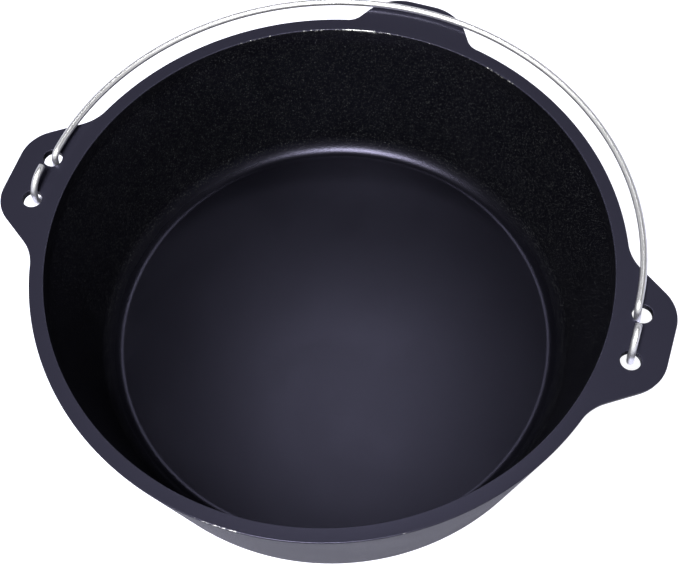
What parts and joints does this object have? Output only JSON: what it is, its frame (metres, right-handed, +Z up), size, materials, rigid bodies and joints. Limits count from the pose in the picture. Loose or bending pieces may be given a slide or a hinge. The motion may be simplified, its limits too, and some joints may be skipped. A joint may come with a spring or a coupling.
{
  "type": "dutch oven",
  "caption": "Open cast iron dutch oven with drilled side ears, a rear tab and a hinged wire bail that folds flat behind the rim.",
  "frame": {"origin": "centre of the flat base's underside, where the oven stands", "axes": "+X through the right ear, +Y towards the rear tab where the bail lies at rest, +Z up"},
  "size_m": [0.3718, 0.3395, 0.1109],
  "materials": {
    "cast_iron": "sand cast, seasoned",
    "steel_wire": "bright drawn"
  },
  "bodies": {
    "pot": {"pot_casting": "cast_iron"},
    "bail": {"bail_wire": "steel_wire"}
  },
  "joints": [
    {"name": "bail_swing", "type": "hinge", "parent": "pot", "child": "bail", "pos_m": [0, 0, 0.09775], "axis": [1, 0, 0], "range_deg": [0, 135]}
  ]
}
